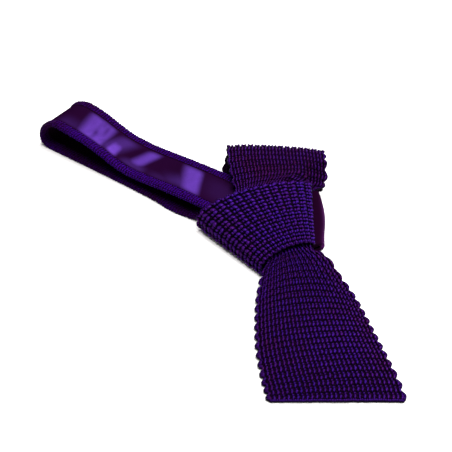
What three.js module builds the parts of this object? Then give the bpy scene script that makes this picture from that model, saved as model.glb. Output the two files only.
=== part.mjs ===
import * as THREE from "three";

// A knit tie, knotted and laid down on a table. Millimetres, +Z up, the table at z = 0.
// The knot sits at the origin, the blade runs toward -Y and the neck loop toward -X and +Y.

// Driving dimensions
const knit_wall = 2.2; // double knit cloth of the blade and of the knot
const band_wall = 2.0; // knit cloth of the narrow neck band
const layer_gap = 0.3; // air between two layers
const blade_width = 61.6; // across the free end
const blade_reach = 110.6; // from the middle of the knot to the hem
const flap_reach = 57.3; // from the middle of the knot to the top crease
const knot_width = 66.0; // across the top opening of the knot
const mouth_width = 32.4; // across the opening the blade comes out of
const knot_length = 42.0; // from the top opening to the mouth
const knot_height = 21.0; // the knot's front above the table at the top opening
const mouth_height = 15.0; // the same at the mouth
const band_width = 28.0; // the neck band
const loop_reach = 141.2; // from the band's end in the knot to the far bend
const loop_height = 18.5; // the neck loop's highest outer face
const border_width = 4.6; // raised knit border on each side of the satin
const ribbon_wall = 0.5; // satin ribbon laid into the band's outer face
const tail_width = 30.0; // narrow end hidden under the blade
const tail_reach = 90.0; // from the middle of the knot to the tail's end
const turn_length = 36.5; // the satin faced turn, along the knot's right side
const scallop_pitch = 6.0; // small bumps along the knit's two side edges
const scallop_depth = 0.9;

// Where things lie on the table
const knot_top = [-8.1, 19.4]; // middle of the top opening
const knot_heading = -68.9; // from the top opening to the mouth, degrees from +X
const top_turn = 18.2; // the openings' own directions
const mouth_turn = 26.0;
const band_end = [-1.46, 5.9]; // middle of the band's hidden end
const band_heading = 143.0; // from the knot to the far bend

const rad = (degrees) => (degrees * Math.PI) / 180;

// A smooth curve through the rows of a table, t from 0 to 1 over the row numbers.
function through(rows, t) {
  const last = rows.length - 1;
  const at = Math.min(Math.max(t, 0), 1) * last;
  const i = Math.min(Math.floor(at), last - 1);
  const f = at - i;
  return rows[i].map((b, k) => {
    const c = rows[i + 1][k];
    const a = i > 0 ? rows[i - 1][k] : 2 * b - c;
    const d = i + 2 <= last ? rows[i + 2][k] : 2 * c - b;
    return 0.5 * (2 * b + (c - a) * f + (2 * a - 5 * b + 4 * c - d) * f * f + (3 * b - a - 3 * c + d) * f * f * f);
  });
}

// Even steps along a table's curve, measured between the points that place() gives.
function evenSteps(rows, place, steps) {
  const fine = 1200;
  const run = [0];
  let before = place(through(rows, 0));
  for (let i = 1; i <= fine; i++) {
    const now = place(through(rows, i / fine));
    run.push(run[i - 1] + Math.hypot(...now.map((x, k) => x - before[k])));
    before = now;
  }
  const marks = [];
  let j = 0;
  for (let s = 0; s <= steps; s++) {
    const want = (run[fine] * s) / steps;
    while (j < fine - 1 && run[j + 1] < want) j++;
    marks.push((j + (want - run[j]) / (run[j + 1] - run[j])) / fine);
  }
  return { marks, length: run[fine] };
}

// One closed body from rings of points: ring i joins ring i + 1, the first and last are capped.
function lofted(name, color, rings, caps) {
  const n = rings[0].length;
  const points = rings.flat();
  const faces = [];
  for (let i = 0; i < rings.length - 1; i++) {
    for (let j = 0; j < n; j++) {
      const a = i * n + j;
      const b = i * n + ((j + 1) % n);
      faces.push([a, b, b + n], [a, b + n, a + n]);
    }
  }
  const end = (rings.length - 1) * n;
  for (const [a, b, c] of caps) {
    faces.push([a, c, b], [end + a, end + b, end + c]);
  }
  let volume = 0;
  for (const [a, b, c] of faces) {
    const p = points[a];
    const q = points[b];
    const r = points[c];
    volume += p[0] * (q[1] * r[2] - q[2] * r[1]) - p[1] * (q[0] * r[2] - q[2] * r[0]) + p[2] * (q[0] * r[1] - q[1] * r[0]);
  }
  const outward = volume > 0 ? faces : faces.map(([a, b, c]) => [a, c, b]);
  const geometry = new THREE.BufferGeometry();
  geometry.setAttribute("position", new THREE.BufferAttribute(new Float32Array(points.flat()), 3));
  geometry.setIndex(outward.flat());
  geometry.computeVertexNormals();
  const mesh = new THREE.Mesh(geometry, new THREE.MeshStandardMaterial({ color, roughness: 0.85 }));
  mesh.name = name;
  return mesh;
}

// A cloth of even thickness around a middle surface given as rows of points.
function cloth(name, color, grid, wall) {
  const rows = grid.length;
  const cols = grid[0].length;
  const vector = (p) => new THREE.Vector3(...p);
  const rings = grid.map((row, i) => {
    const front = [];
    const back = [];
    row.forEach((p, j) => {
      const along = vector(grid[Math.min(i + 1, rows - 1)][j]).sub(vector(grid[Math.max(i - 1, 0)][j]));
      const across = vector(row[Math.min(j + 1, cols - 1)]).sub(vector(row[Math.max(j - 1, 0)]));
      const lift = along.cross(across).normalize().multiplyScalar(wall / 2);
      front.push(vector(p).add(lift).toArray());
      back.push(vector(p).sub(lift).toArray());
    });
    return [...front, ...back.reverse()];
  });
  const caps = [];
  for (let j = 0; j < cols - 1; j++) {
    const under = 2 * cols - 1 - j;
    caps.push([j, j + 1, under - 1], [j, under - 1, under]);
  }
  return lofted(name, color, rings, caps);
}

// The knot's section at share w of its length: an oval that is flat underneath.
// angle runs from the right side over the front; inset is how far inside the outer face.
const belly = 0.4; // height of the widest place, a share of the knot's height
const shoulder = { left: 1.75, right: 2.3, under: 7.0 }; // powers of the oval
function knotPoint(w, angle, inset) {
  const length = knot_length * w;
  const x = knot_top[0] + length * Math.cos(rad(knot_heading));
  const y = knot_top[1] + length * Math.sin(rad(knot_heading));
  const turn = rad(top_turn + (mouth_turn - top_turn) * w);
  const half = (knot_width + (mouth_width - knot_width) * w) / 2 - inset;
  const high = knot_height + (mouth_height - knot_height) * w;
  const wide = belly * high;
  const c = Math.cos(rad(angle));
  const s = Math.sin(rad(angle));
  const power = s < 0 ? shoulder.under : c < 0 ? shoulder.left : shoulder.right;
  const side = half * Math.sign(c) * Math.abs(c) ** (2 / power);
  const flat = s < 0 ? 1.04 : 1; // the underside's middle lies dead flat
  const rise = Math.min(flat * Math.abs(s) ** (2 / power), 1);
  const z = s < 0 ? wide - (wide - inset) * rise : wide + (high - inset - wide) * rise;
  return [x + side * Math.cos(turn), y + side * Math.sin(turn), z];
}

// Blade, in three sections. side and half are shares of blade_width, reach is a share of the
// section's own length, centre and edge are heights as shares of knot_height, turn in degrees.
const lying = [
  // side, reach, half, turn, centre, edge
  { side: 0.418, reach: 1.0, half: 0.5, turn: 0, centre: 0.064, edge: 0.0526 }, // hem
  { side: 0.391, reach: 0.914, half: 0.495, turn: 4, centre: 0.138, edge: 0.0545 },
  { side: 0.354, reach: 0.826, half: 0.484, turn: 7, centre: 0.19, edge: 0.057 },
  { side: 0.294, reach: 0.651, half: 0.455, turn: 6, centre: 0.205, edge: 0.057 },
  { side: 0.237, reach: 0.42, half: 0.39, turn: 4, centre: 0.238, edge: 0.067 },
  { side: 0.193, reach: 0.28, half: 0.315, turn: 7, centre: 0.343, edge: 0.143 },
  { side: 0.163, reach: 0.217, half: 0.266, turn: 15, centre: 0.43, edge: 0.295 }, // under the mouth
];
const inside = [
  { side: 0.12, reach: 0.158, half: 0.19, turn: 23, centre: 0.53, edge: 0.45 },
  { side: -0.008, reach: 0.0, half: 0.23, turn: 20, centre: 0.69, edge: 0.605 }, // gathered in the knot
];
const folded = [
  { side: -0.024, reach: 0.297, half: 0.317, turn: 14, centre: 0.781, edge: 0.633 }, // top opening
  { side: -0.006, reach: 0.41, half: 0.31, turn: 14, centre: 0.83, edge: 0.69 },
  { side: 0.05, reach: 0.55, half: 0.388, turn: 6, centre: 0.867, edge: 0.743 },
  { side: 0.039, reach: 0.742, half: 0.409, turn: -1, centre: 0.933, edge: 0.829 },
  { side: 0.031, reach: 0.916, half: 0.408, turn: -5, centre: 0.914, edge: 0.829 },
  { side: 0.026, reach: 1.0, half: 0.406, turn: -5, centre: 0.714, edge: 0.638 }, // crease
  { side: 0.012, reach: 0.953, half: 0.411, turn: -5, centre: 0.467, edge: 0.419 },
  { side: -0.007, reach: 0.785, half: 0.422, turn: -3, centre: 0.332, edge: 0.305 },
  { side: 0.01, reach: 0.558, half: 0.416, turn: 4, centre: 0.303, edge: 0.296 },
  { side: -0.075, reach: 0.4, half: 0.357, turn: 18, centre: 0.3, edge: 0.3 }, // behind the knot
];
const bladeRow = (r, length) => [
  r.side * blade_width,
  r.reach * length,
  r.half * blade_width,
  r.turn,
  r.centre * knot_height,
  r.edge * knot_height,
];
const blade_rows = [
  ...lying.map((r) => bladeRow(r, -blade_reach)),
  ...inside.map((r) => bladeRow(r, -blade_reach)),
  ...folded.map((r) => bladeRow(r, flap_reach)),
];
// The highest a layer may lie at a place in the knot, so that it stays under the wrap.
function underWrap(x, y) {
  const dx = x - knot_top[0];
  const dy = y - knot_top[1];
  const heading = rad(knot_heading);
  const w = (dx * Math.cos(heading) + dy * Math.sin(heading)) / knot_length;
  const near = Math.min(Math.max(w, 0), 1);
  const turn = rad(top_turn + (mouth_turn - top_turn) * near);
  const side = (dx - knot_length * w * Math.cos(heading)) * Math.cos(turn) + (dy - knot_length * w * Math.sin(heading)) * Math.sin(turn);
  const inset = 1.5 * knit_wall + layer_gap + 0.45;
  const half = (knot_width + (mouth_width - knot_width) * near) / 2 - inset;
  const high = knot_height + (mouth_height - knot_height) * near;
  const power = side < 0 ? shoulder.left : shoulder.right;
  const share = Math.min(Math.abs(side) / half, 1);
  const rise = (1 - share ** power) ** (1 / power);
  const outside = Math.abs(w - near) * knot_length;
  return belly * high + (high - inset - belly * high) * rise + 1.2 * Math.max(outside - 1, 0);
}
function bladeGrid(columns) {
  const steps = 4; // rows to one edge bump
  const measured = evenSteps(blade_rows, (r) => [r[0], r[1], r[4]], 4);
  const bumps = Math.round(measured.length / scallop_pitch);
  const { marks } = evenSteps(blade_rows, (r) => [r[0], r[1], r[4]], bumps * steps);
  return marks.map((mark, i) => {
    const [x, y, half, turn, centre, edge] = through(blade_rows, mark);
    const bump = Math.abs(Math.sin((Math.PI * i) / steps));
    const reach = half - scallop_depth * (1 - bump);
    return columns.map((v) => {
      const px = x + v * reach * Math.cos(rad(turn));
      const py = y + v * reach * Math.sin(rad(turn));
      const high = edge + (centre - edge) * (1 - Math.abs(v) ** 3);
      const passing = y < flap_reach && mark > 0.2 && mark < 0.66;
      return [px, py, passing ? Math.min(high, underWrap(px, py)) : high];
    });
  });
}
const blade = cloth("front_blade", 0x46307e, bladeGrid([-1, -0.82, -0.55, -0.2, 0.2, 0.55, 0.82, 1]), knit_wall);

// The wrap: the same knit cloth round the knot, open on the right where the satin turn shows.
const wrap_from = 22; // degrees, front end
const wrap_to = 304; // underside end
const wrap_steps = 50;
const wrap_rows = 10;
const wrap_grid = [];
for (let i = 0; i <= wrap_steps; i++) {
  const angle = wrap_from + ((wrap_to - wrap_from) * i) / wrap_steps;
  const row = [];
  for (let j = 0; j <= wrap_rows; j++) {
    row.push(knotPoint(j / wrap_rows, angle, knit_wall / 2));
  }
  wrap_grid.push(row);
}
const wrap = cloth("knot_wrap", 0x46307e, wrap_grid, knit_wall);

// The satin faced turn round the knot's right side: its two ends are tucked under the wrap.
// out is how far the middle of the cloth stands outside the knot's side, a share of band_wall,
// high a share of the knot's height there and lift a share of knit_wall on top of it. The
// outermost rows stand further out at the mouth.
const turn_rows = [
  { out: -2.4, high: 0, lift: 1.682, swell: 0 }, // lower end, on the wrap's underside
  { out: -1.3, high: 0, lift: 1.636, swell: 0 },
  { out: -0.35, high: 0.0, lift: 1.409, swell: 0.2 },
  { out: 0.25, high: 0.12, lift: 0.727, swell: 0.6 },
  { out: 0.5, high: 0.22, lift: 0.545, swell: 1 },
  { out: 0.45, high: 0.34, lift: 0.182, swell: 1 },
  { out: 0.05, high: 0.42, lift: 0.045, swell: 0.7 },
  { out: -0.7, high: 0.445, lift: 0, swell: 0.2 },
  { out: -1.8, high: 0.44, lift: 0, swell: 0 }, // upper end, under the blade
].map((r) => [r.out * band_wall, r.high, r.lift * knit_wall, r.swell * 0.6 * band_wall]);
const turn_grid = [];
for (let i = 0; i <= 28; i++) {
  const [out, share, lift, swell] = through(turn_rows, i / 28);
  const row = [];
  for (let j = 0; j <= 8; j++) {
    const w = 0.08 + ((j / 8) * turn_length) / knot_length;
    const side = knotPoint(w, 0, 0);
    const angle = rad(top_turn + (mouth_turn - top_turn) * w);
    const far = out + swell * w;
    const high = knot_height + (mouth_height - knot_height) * w;
    row.push([side[0] + far * Math.cos(angle), side[1] + far * Math.sin(angle), share * high + lift]);
  }
  turn_grid.push(row);
}
const turn = cloth("inner_turn", 0x5a3d8c, turn_grid, band_wall);

// Neck loop: the band leaves the knot on top, bends back and comes home along the table.
// out is a share of loop_reach, high a share of loop_height, aside a share of band_width, and
// raised, how much higher the band's near edge is than its far edge, a share of loop_height.
const loop_rows = [
  { out: 0.0, high: 0.449, aside: 0, raised: 0.0 }, // upper end, hidden in the knot
  { out: 0.064, high: 0.4861, aside: 0, raised: 0.0 },
  { out: 0.127, high: 0.5356, aside: 0, raised: 0.0 },
  { out: 0.191, high: 0.5784, aside: 0, raised: 0.0 },
  { out: 0.276, high: 0.5784, aside: 0, raised: 0.0 },
  { out: 0.341, high: 0.5594, aside: 0, raised: 0.0 },
  { out: 0.428, high: 0.5232, aside: 0, raised: 0.0 },
  { out: 0.504, high: 0.4709, aside: 0, raised: 0.0 },
  { out: 0.593, high: 0.4253, aside: 0, raised: 0.029 }, // dip
  { out: 0.654, high: 0.4329, aside: 0, raised: 0.124 },
  { out: 0.704, high: 0.4602, aside: 0, raised: 0.225 },
  { out: 0.761, high: 0.5774, aside: 0, raised: 0.222 },
  { out: 0.824, high: 0.7401, aside: 0, raised: 0.137 },
  { out: 0.877, high: 0.8302, aside: 0, raised: 0.085 },
  { out: 0.919, high: 0.8606, aside: 0, raised: 0.085 }, // hump
  { out: 0.95, high: 0.8048, aside: 0, raised: 0.08 },
  { out: 0.979, high: 0.6878, aside: 0, raised: 0.04 },
  { out: 0.995, high: 0.5132, aside: 0, raised: 0.01 },
  { out: 1.0, high: 0.3139, aside: 0, raised: 0.0 }, // far bend
  { out: 0.993, high: 0.157, aside: 0, raised: 0.0 },
  { out: 0.973, high: 0.0761, aside: 0, raised: 0.0 },
  { out: 0.935, high: 0.0558, aside: 0, raised: 0.0 },
  { out: 0.807, high: 0.0558, aside: 0, raised: 0.0 },
  { out: 0.63, high: 0.0558, aside: 0, raised: 0.0 },
  { out: 0.467, high: 0.0558, aside: -0.021, raised: 0.0 },
  { out: 0.361, high: 0.0558, aside: -0.071, raised: 0.0 },
  { out: 0.283, high: 0.0875, aside: -0.043, raised: 0.0 },
  { out: 0.22, high: 0.195, aside: -0.011, raised: 0.0 },
  { out: 0.142, high: 0.195, aside: 0, raised: 0.0 },
  { out: 0.0, high: 0.195, aside: 0, raised: 0.0 }, // lower end, hidden in the knot
].map((r) => [r.out * loop_reach, r.high * loop_height, r.aside * band_width, r.raised * loop_height]);
const loop_steps = 120;
const half_band = band_width / 2;
function sweptAlongLoop(name, color, profile, caps) {
  const { marks } = evenSteps(loop_rows, (r) => [r[0], r[1]], loop_steps);
  const rings = marks.map((mark) => {
    const [out, high, aside, raised] = through(loop_rows, mark);
    const ahead = through(loop_rows, Math.min(mark + 1e-4, 1));
    const behind = through(loop_rows, Math.max(mark - 1e-4, 0));
    const run = Math.hypot(ahead[0] - behind[0], ahead[1] - behind[1]);
    const normal = [-(ahead[1] - behind[1]) / run, (ahead[0] - behind[0]) / run];
    return profile.map(([across, off]) => {
      const s = out + normal[0] * off;
      const side = across + aside;
      return [
        band_end[0] + s * Math.cos(rad(band_heading)) + side * Math.sin(rad(band_heading)),
        band_end[1] + s * Math.sin(rad(band_heading)) - side * Math.cos(rad(band_heading)),
        high + normal[1] * off + (raised * (1 - across / half_band)) / 2,
      ];
    });
  });
  return lofted(name, color, rings, caps);
}
const half_floor = half_band - border_width;
const band_face = band_wall / 2;
const ribbon_top = band_face - 0.1;
const recess = ribbon_top - ribbon_wall - layer_gap;
const band = sweptAlongLoop(
  "neck_band",
  0x3d2b70,
  [
    [-half_band, -band_face],
    [-half_floor, -band_face],
    [half_floor, -band_face],
    [half_band, -band_face],
    [half_band, band_face],
    [half_floor, band_face],
    [half_floor, recess],
    [-half_floor, recess],
    [-half_floor, band_face],
    [-half_band, band_face],
  ],
  [
    [0, 1, 8],
    [0, 8, 9],
    [1, 2, 6],
    [1, 6, 7],
    [1, 7, 8],
    [2, 3, 4],
    [2, 4, 5],
    [2, 5, 6],
  ],
);
const half_ribbon = half_floor - layer_gap;
const ribbon = sweptAlongLoop(
  "satin_ribbon",
  0x7a62b8,
  [
    [-half_ribbon, recess + layer_gap],
    [half_ribbon, recess + layer_gap],
    [half_ribbon, ribbon_top],
    [-half_ribbon, ribbon_top],
  ],
  [
    [0, 1, 2],
    [0, 2, 3],
  ],
);

// Tail: the narrow end, flat on the table under the blade. side and half are shares of
// tail_width, reach of tail_reach, high of knot_height.
const tail_rows = [
  { side: 0.1, reach: 0.056, half: 0.28, turn: 22, high: 0.178 }, // in the knot
  { side: 0.233, reach: 0.178, half: 0.28, turn: 23, high: 0.178 },
  { side: 0.32, reach: 0.261, half: 0.33, turn: 22, high: 0.178 },
  { side: 0.4, reach: 0.361, half: 0.44, turn: 12, high: 0.0905 },
  { side: 0.453, reach: 0.444, half: 0.487, turn: 8, high: 0.0545 },
  { side: 0.55, reach: 0.667, half: 0.5, turn: 6, high: 0.0545 },
  { side: 0.653, reach: 0.889, half: 0.5, turn: 8, high: 0.0545 },
  { side: 0.707, reach: 1.0, half: 0.5, turn: 8, high: 0.0545 }, // end
].map((r) => [r.side * tail_width, -r.reach * tail_reach, r.half * tail_width, r.turn, r.high * knot_height]);
const tail_marks = evenSteps(tail_rows, (r) => [r[0], r[1], r[4]], 30).marks;
const tail_grid = tail_marks.map((mark) => {
  const [x, y, half, turn, z] = through(tail_rows, mark);
  return [-1, -0.33, 0.33, 1].map((v) => [
    x + v * half * Math.cos(rad(turn)),
    y + v * half * Math.sin(rad(turn)),
    z,
  ]);
});
const tail = cloth("tail", 0x3d2b70, tail_grid, knit_wall);

const tie = new THREE.Group();
tie.name = "knit_tie";
tie.add(blade, wrap, turn, band, ribbon, tail);
export default tie;
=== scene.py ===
import math

import bpy
import numpy as np
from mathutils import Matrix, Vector


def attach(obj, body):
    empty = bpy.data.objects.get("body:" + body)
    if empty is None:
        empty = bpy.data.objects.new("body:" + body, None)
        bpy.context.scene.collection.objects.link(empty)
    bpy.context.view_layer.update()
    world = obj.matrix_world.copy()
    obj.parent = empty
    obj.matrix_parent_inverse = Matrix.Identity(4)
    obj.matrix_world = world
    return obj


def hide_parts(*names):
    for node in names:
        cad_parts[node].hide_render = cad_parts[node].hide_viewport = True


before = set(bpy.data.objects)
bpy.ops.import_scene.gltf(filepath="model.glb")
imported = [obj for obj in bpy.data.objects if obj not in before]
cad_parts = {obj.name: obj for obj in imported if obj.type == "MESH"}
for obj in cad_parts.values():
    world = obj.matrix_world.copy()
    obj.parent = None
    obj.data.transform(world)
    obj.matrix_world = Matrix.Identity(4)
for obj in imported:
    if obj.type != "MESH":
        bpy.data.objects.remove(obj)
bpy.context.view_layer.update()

# The view: a camera 0.8 m away and 40 degrees above a plain white table, under one broad
# lamp overhead, a softer one on the right, a small softbox behind that lights up the
# satin's slopes, and a dim room.
look_at = Vector((-0.02378, 0.0122, 0.0))
camera_tilt = math.radians(40.0)
camera_away = 0.8
sensor_width = 36.0
picture_width, focal_length = 452.0, 1588.0  # both in the picture's pixels
camera_data = bpy.data.cameras.new("view")
camera_data.sensor_width = sensor_width
camera_data.lens = sensor_width * focal_length / picture_width
camera = bpy.data.objects.new("view", camera_data)
towards = Vector((0.0, math.cos(camera_tilt), -math.sin(camera_tilt)))
camera.location = look_at - towards * camera_away
camera.rotation_mode = "QUATERNION"
camera.rotation_quaternion = towards.to_track_quat("-Z", "Y")
bpy.context.scene.collection.objects.link(camera)
bpy.context.scene.camera = camera
bpy.context.scene.view_settings.view_transform = "Standard"


def plain_material(name, roughness, specular):
    """A new material, with its node tree and its surface shader."""
    material = bpy.data.materials.new(name)
    material.use_nodes = True
    surface = material.node_tree.nodes["Principled BSDF"]
    surface.inputs["Roughness"].default_value = roughness
    surface.inputs["Specular IOR Level"].default_value = specular
    return material, material.node_tree, surface


table_half = 2.5
table_corners = [(x * table_half, y * table_half, 0) for x, y in ((-1, -1), (1, -1), (1, 1), (-1, 1))]
table_mesh = bpy.data.meshes.new("table_top")
table_mesh.from_pydata(table_corners, [], [(0, 1, 2, 3)])
table_top = bpy.data.objects.new("table_top", table_mesh)
bpy.context.scene.collection.objects.link(table_top)
table_paint, _, table_surface = plain_material("white_table", 0.9, 0.1)
table_surface.inputs["Base Color"].default_value = (0.93, 0.915, 0.9, 1)
table_mesh.materials.append(table_paint)


def softbox(name, place, width, depth, power):
    """A flat lamp of the given width and depth, in metres, that faces the tie."""
    lamp = bpy.data.lights.new(name, "AREA")
    lamp.shape = "RECTANGLE"
    lamp.size = width
    lamp.size_y = depth
    lamp.energy = power
    holder = bpy.data.objects.new(name, lamp)
    holder.location = place
    holder.rotation_mode = "QUATERNION"
    holder.rotation_quaternion = (-Vector(place)).to_track_quat("-Z", "Y")
    bpy.context.scene.collection.objects.link(holder)


softbox("lamp_overhead", (0.15, -0.1, 1.5), 1.3, 1.3, 46.0)
softbox("lamp_right", (1.1, 0.25, 0.9), 0.6, 0.6, 7.0)
softbox("lamp_behind", (0.46, 0.72, 1.10), 0.4, 0.3, 8.0)
room = bpy.data.worlds.new("dim_room")
room.use_nodes = True
room.node_tree.nodes["Background"].inputs["Color"].default_value = (1.0, 0.97, 0.98, 1)
room.node_tree.nodes["Background"].inputs["Strength"].default_value = 0.12
bpy.context.scene.world = room

# Front blade: the wide end, one strip of thick silk knit with scalloped edges. It lies on the
# table from its hem to the knot, is gathered through it, stands up as the front flap, turns
# over at the crease and runs back under itself as the rear flap.
mm = 0.001
knit_wall = 2.2
layer_gap = 0.3
blade_width = 61.6
blade_reach = 110.6
flap_reach = 57.3
knot_width = 66.0
mouth_width = 32.4
knot_length = 42.0
knot_height = 21.0
mouth_height = 15.0
scallop_pitch = 6.0
scallop_depth = 0.9
knot_top = np.array([-8.1, 19.4])
knot_heading = math.radians(-68.9)
top_turn = 18.2
mouth_turn = 26.0
belly = 0.4
shoulder_left, shoulder_right, shoulder_under = 1.75, 2.3, 7.0
# The blade's sections from its hem on. side and half are shares of blade_width, reach of
# blade_reach or flap_reach, turn is in degrees, and the heights of the middle and of the
# edges are shares of knot_height.
# side, reach, half, turn, centre, edge
lying = [
    (0.418, 1.0, 0.5, 0, 0.064, 0.0526),
    (0.391, 0.914, 0.495, 4, 0.138, 0.0545),
    (0.354, 0.826, 0.484, 7, 0.19, 0.057),
    (0.294, 0.651, 0.455, 6, 0.205, 0.057),
    (0.237, 0.42, 0.39, 4, 0.238, 0.067),
    (0.193, 0.28, 0.315, 7, 0.343, 0.143),
    (0.163, 0.217, 0.266, 15, 0.43, 0.295),
    (0.12, 0.158, 0.19, 23, 0.53, 0.45),
    (-0.008, 0.0, 0.23, 20, 0.69, 0.605),
]
folded = [
    (-0.024, 0.297, 0.317, 14, 0.781, 0.633),
    (-0.006, 0.41, 0.31, 14, 0.83, 0.69),
    (0.05, 0.55, 0.388, 6, 0.867, 0.743),
    (0.039, 0.742, 0.409, -1, 0.933, 0.829),
    (0.031, 0.916, 0.408, -5, 0.914, 0.829),
    (0.026, 1.0, 0.406, -5, 0.714, 0.638),
    (0.012, 0.953, 0.411, -5, 0.467, 0.419),
    (-0.007, 0.785, 0.422, -3, 0.332, 0.305),
    (0.01, 0.558, 0.416, 4, 0.303, 0.296),
    (-0.075, 0.4, 0.357, 18, 0.3, 0.3),
]
blade_rows = np.array(
    [
        (side * blade_width, reach * run, half * blade_width, turn, centre * knot_height, edge * knot_height)
        for rows, run in ((lying, -blade_reach), (folded, flap_reach))
        for side, reach, half, turn, centre, edge in rows
    ]
)


def through(rows, t):
    """Values on a smooth curve through a table's rows, t from 0 to 1 over the row numbers.
    It is worked out from the rows before and after the place, b and c, and their neighbours."""
    last = len(rows) - 1
    at = np.clip(t, 0, 1) * last
    i = np.minimum(at.astype(int), last - 1)
    f = (at - i)[:, None]
    b, c = rows[i], rows[i + 1]
    a = np.where((i > 0)[:, None], rows[np.maximum(i - 1, 0)], 2 * b - c)
    d = np.where((i + 2 <= last)[:, None], rows[np.minimum(i + 2, last)], 2 * c - b)
    bend, twist = 2 * a - 5 * b + 4 * c - d, 3 * b - a - 3 * c + d
    return 0.5 * (2 * b + (c - a) * f + bend * f * f + twist * f**3)


def run_along(rows, columns):
    """The share t of a table's curve for each distance along it, and the curve's length."""
    t = np.linspace(0, 1, 2401)
    steps = np.linalg.norm(np.diff(through(rows, t)[:, columns], axis=0), axis=1)
    run = np.concatenate([[0], np.cumsum(steps)])
    return (lambda s: np.interp(s, run, t)), run[-1]


def knot_place(x, y):
    """Share along the knot, distance to the side of its middle line, and distance outside it."""
    dx, dy = x - knot_top[0], y - knot_top[1]
    w = (dx * math.cos(knot_heading) + dy * math.sin(knot_heading)) / knot_length
    near = np.clip(w, 0, 1)
    turn = np.radians(top_turn + (mouth_turn - top_turn) * near)
    side = (dx - knot_length * w * math.cos(knot_heading)) * np.cos(turn)
    side = side + (dy - knot_length * w * math.sin(knot_heading)) * np.sin(turn)
    return near, side, np.abs(w - near) * knot_length


def under_wrap(x, y):
    """The highest a layer may lie at a place in the knot so that it stays under the wrap."""
    near, side, outside = knot_place(x, y)
    stitch_room = 0.45
    inset = 1.5 * knit_wall + layer_gap + stitch_room
    half = (knot_width + (mouth_width - knot_width) * near) / 2 - inset
    high = knot_height + (mouth_height - knot_height) * near
    power = np.where(side < 0, shoulder_left, shoulder_right)
    share = np.minimum(np.abs(side) / half, 1)
    rise = np.maximum(1 - share**power, 0) ** (1 / power)
    return belly * high + (high - inset - belly * high) * rise + 1.2 * np.maximum(outside - 1, 0)


blade_share, blade_length = run_along(blade_rows, [0, 1, 4])
passing_from, passing_to = 0.2, 0.66  # the rows' shares between which the blade passes the knot


def blade_at(s, v):
    """A point in the middle of the blade's cloth, s mm from the hem, v from -1 to 1 across."""
    t = blade_share(s)
    x, y, half, turn, centre, edge = through(blade_rows, t).T
    bump = np.abs(np.sin(np.pi * s / scallop_pitch))
    half = half - scallop_depth * (1 - bump) * np.abs(v) ** 10
    turn = np.radians(turn)
    px, py = x + v * half * np.cos(turn), y + v * half * np.sin(turn)
    high = edge + (centre - edge) * (1 - np.abs(v) ** 3)
    passing = (y < flap_reach) & (t > passing_from) & (t < passing_to)
    return np.stack([px, py, np.where(passing, np.minimum(high, under_wrap(px, py)), high)], 1)


def on_cloth(surface, s, v, high, face=1):
    """Points high mm outside the middle of a cloth."""
    ds, dv = 0.4, 0.012
    along = surface(s + ds, v) - surface(s - ds, v)
    across = surface(s, v + dv) - surface(s, v - dv)
    out = np.cross(across, along) * face
    out /= np.linalg.norm(out, axis=1, keepdims=True) + 1e-9
    return surface(s, v) + out * np.asarray(high)[:, None]


def mesh_piece(name, points, faces, material):
    """A mesh object made from points in millimetres, pressed flat where it meets the table."""
    on_table = 0.03
    points = np.array(points)
    points[:, 2] = np.maximum(points[:, 2], on_table)
    mesh = bpy.data.meshes.new(name)
    mesh.from_pydata((points * mm).tolist(), [], [list(f) for f in faces])
    mesh.materials.append(material)
    mesh.polygons.foreach_set("use_smooth", [True] * len(mesh.polygons))
    mesh.update()
    piece = bpy.data.objects.new(name, mesh)
    bpy.context.scene.collection.objects.link(piece)
    return piece


def lay_out(mesh, values):
    """The UV map that the materials read, from one pair of numbers for each point."""
    layer = mesh.uv_layers.new(name="Thread")
    corners = np.zeros(len(mesh.loops), int)
    mesh.loops.foreach_get("vertex_index", corners)
    layer.data.foreach_set("uv", np.asarray(values, float)[corners].ravel())


def mark(mesh, name, values):
    """A value for each point of the mesh, for its material to read."""
    attribute = mesh.attributes.new(name, "FLOAT", "POINT")
    attribute.data.foreach_set("value", np.asarray(values, np.float32))


def grid_of(rows, columns):
    """Every row's value with every column's, as two flat lists."""
    return [grid.ravel() for grid in np.meshgrid(rows, columns, indexing="ij")]


def cloth_piece(name, surface, s_marks, v_marks, top, bottom, pitch, material, face=1):
    """A closed cloth between two heights over its middle, with its knit's grid as its UV map."""
    rows, cols = len(s_marks), len(v_marks)
    s, v = grid_of(s_marks, v_marks)
    upper = on_cloth(surface, s, v, np.full(len(s), top), face)
    lower = on_cloth(surface, s, v, np.full(len(s), bottom), face)
    index = np.arange(rows * cols).reshape(rows, cols)
    a, b, c, d = index[:-1, :-1], index[:-1, 1:], index[1:, 1:], index[1:, :-1]
    under = rows * cols
    upper_faces = np.stack([a, b, c, d], -1).reshape(-1, 4)
    faces = [upper_faces, upper_faces[:, ::-1] + under]
    for line, swap in ((index[0], 1), (index[-1], 0), (index[:, 0], 0), (index[:, -1], 1)):
        first, second = line[:-1], line[1:]
        if swap:
            first, second = second, first
        faces.append(np.stack([first, second, second + under, first + under], 1))
    faces = np.concatenate(faces)
    if face < 0:
        faces = faces[:, ::-1]
    piece = mesh_piece(name, np.concatenate([upper, lower]), faces.tolist(), material)
    grid = np.stack([v * pitch[1] / 2, s / pitch[0]], 1)
    lay_out(piece.data, np.concatenate([grid, grid + [0.5, 0.25]]))
    return piece


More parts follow.
